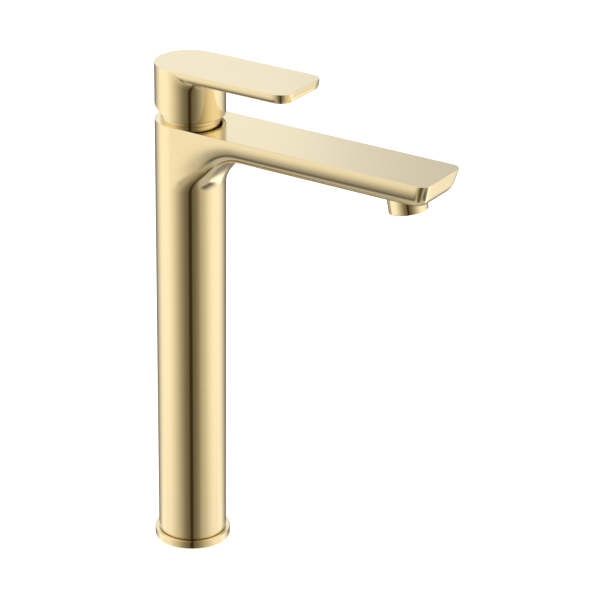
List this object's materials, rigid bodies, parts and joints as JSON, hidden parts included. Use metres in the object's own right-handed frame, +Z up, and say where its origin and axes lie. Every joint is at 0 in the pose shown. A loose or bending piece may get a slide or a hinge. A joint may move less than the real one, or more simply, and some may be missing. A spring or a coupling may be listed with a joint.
{
  "type": "bathroom mixer faucet",
  "caption": "Tall single-lever basin mixer with a round column, a flat boat-shaped spout, a flat lever on top and a tilted aerator.",
  "frame": {"origin": "centre of the column's foot, on the deck plane", "axes": "+X along the spout, +Z up the column, +Y to the cold side"},
  "size_m": [0.2177, 0.0522, 0.3483],
  "materials": {
    "gold_brushed": "fine brushed champagne gold plating",
    "gold_polished": "polished champagne gold plating",
    "brass_raw": "machined, unplated",
    "copper_tube": "drawn copper",
    "steel": "machined",
    "black_rubber": "matte",
    "white_plastic": "moulded",
    "grey_plastic": "moulded",
    "red_plastic": "moulded",
    "ceramic": "lapped alumina ceramic"
  },
  "bodies": {
    "root": {"faucet_body": "gold_brushed", "base_ring": "gold_polished", "base_gasket": "black_rubber", "base_plug": "brass_raw", "supply_tube_hot": "copper_tube", "supply_tube_cold": "copper_tube", "tube_o_rings": "black_rubber", "cartridge_base": "white_plastic", "inlet_seals": "black_rubber", "fixed_disc": "ceramic", "cartridge_housing": "grey_plastic", "housing_o_ring": "black_rubber", "cartridge_nut": "brass_raw", "hot_limit_ring": "red_plastic", "neck_ring": "gold_polished", "aerator_shell": "gold_polished", "aerator_insert": "white_plastic", "aerator_screen": "steel", "aerator_washer": "black_rubber"},
    "turning_guide": {"cartridge_guide": "white_plastic"},
    "lever": {"handle": "gold_brushed", "lever_stem": "steel", "pivot_pin": "steel", "set_screw": "steel", "index_plug": "gold_polished"},
    "sliding_disc": {"disc_carrier": "white_plastic", "moving_disc": "ceramic", "disc_seal": "black_rubber"}
  },
  "joints": [
    {"name": "lever_turn", "type": "hinge", "parent": "root", "child": "turning_guide", "pos_m": [0, 0, 0.315], "axis": [0, 0, 1], "range_deg": [-50, 50]},
    {"name": "lever_lift", "type": "hinge", "parent": "turning_guide", "child": "lever", "pos_m": [0, 0, 0.315], "axis": [0, -1, 0], "range_deg": [0, 20]},
    {"name": "disc_slide", "type": "slide", "parent": "turning_guide", "child": "sliding_disc", "axis": [1, 0, 0], "range_m": [0, 0.00448]}
  ],
  "couplings": [
    {"joint": "disc_slide", "follows": "lever_lift", "m_per_rad": 0.0127}
  ]
}
